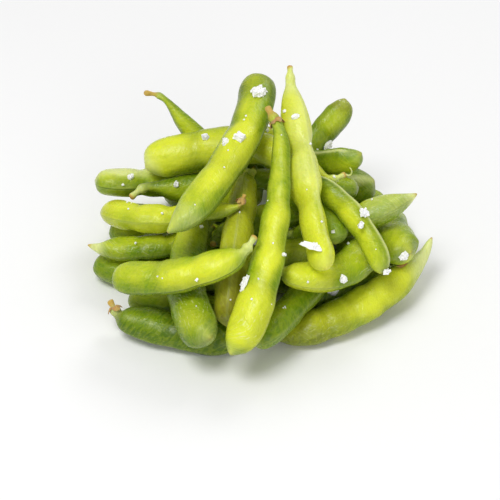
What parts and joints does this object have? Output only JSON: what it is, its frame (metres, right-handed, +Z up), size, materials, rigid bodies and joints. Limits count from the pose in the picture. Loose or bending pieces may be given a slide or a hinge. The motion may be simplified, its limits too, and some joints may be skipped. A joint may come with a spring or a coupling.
{
  "type": "edamame pod bundle",
  "caption": "Heap of cooked green edamame pods, lying crosswise on each other and sprinkled with coarse salt flakes.",
  "frame": {"origin": "on the surface that the heap rests on, under the middle of the heap's box", "axes": "+Z up, +X to the right and -Y towards the viewer in the picture's view"},
  "size_m": [0.1204, 0.1168, 0.0692],
  "materials": {
    "skin_bright": "bright yellow-green pod skin, waxy and finely wrinkled, with a wet sheen",
    "skin_fresh": "fresh green pod skin, waxy and finely wrinkled, with a wet sheen",
    "skin_olive": "olive pod skin, wrinkled and partly browned",
    "salt": "white, cloudy salt crystal"
  },
  "bodies": {
    "root": {"pod_top_left": "skin_bright", "pod_top_right": "skin_bright", "pod_long_middle": "skin_bright", "pod_back_left_horn": "skin_fresh", "pod_upper_left": "skin_bright", "pod_left_rim": "skin_fresh", "pod_left_stalk": "skin_fresh", "pod_left_curved": "skin_bright", "pod_left_point": "skin_fresh", "pod_front_left_long": "skin_fresh", "pod_front_left_low": "skin_fresh", "pod_front_wide": "skin_fresh", "pod_middle_olive": "skin_olive", "pod_under_top_left": "skin_bright", "pod_back_right_blunt": "skin_fresh", "pod_right_back_seamed": "skin_fresh", "pod_right_curled_stalk": "skin_bright", "pod_right_back_low": "skin_fresh", "pod_right_point": "skin_fresh", "pod_right_diagonal": "skin_bright", "pod_right_round": "skin_fresh", "pod_front_right_long": "skin_bright", "pod_front_hook": "skin_bright", "pod_front_low": "skin_fresh", "pod_right_inner": "skin_fresh", "pod_right_inner_low": "skin_fresh", "pod_right_low": "skin_fresh", "pod_base_left": "skin_fresh", "pod_base_back_left": "skin_bright", "pod_base_back": "skin_fresh", "pod_base_back_right": "skin_fresh", "pod_base_right": "skin_fresh", "pod_base_middle": "skin_fresh", "pod_base_front": "skin_fresh", "pod_core_left": "skin_fresh", "pod_core_back": "skin_bright", "pod_core_front": "skin_fresh", "pod_core_high": "skin_fresh", "pod_crown_right": "skin_bright", "pod_core_high_back": "skin_fresh", "salt_flake_star": "salt", "salt_flake_cluster": "salt", "salt_flake_beside_cluster": "salt", "salt_flake_upper_left": "salt", "salt_flake_top_right": "salt", "salt_flake_back_right": "salt", "salt_flake_right_inner": "salt", "salt_flake_long_left": "salt", "salt_flake_long_right": "salt", "salt_flake_hook": "salt", "salt_flake_hook_end": "salt", "salt_flake_front_pair_left": "salt", "salt_flake_front_pair_right": "salt", "salt_flake_right_rim": "salt", "salt_flake_left_stalk": "salt", "salt_flake_left_rim": "salt"}
  },
  "joints": []
}
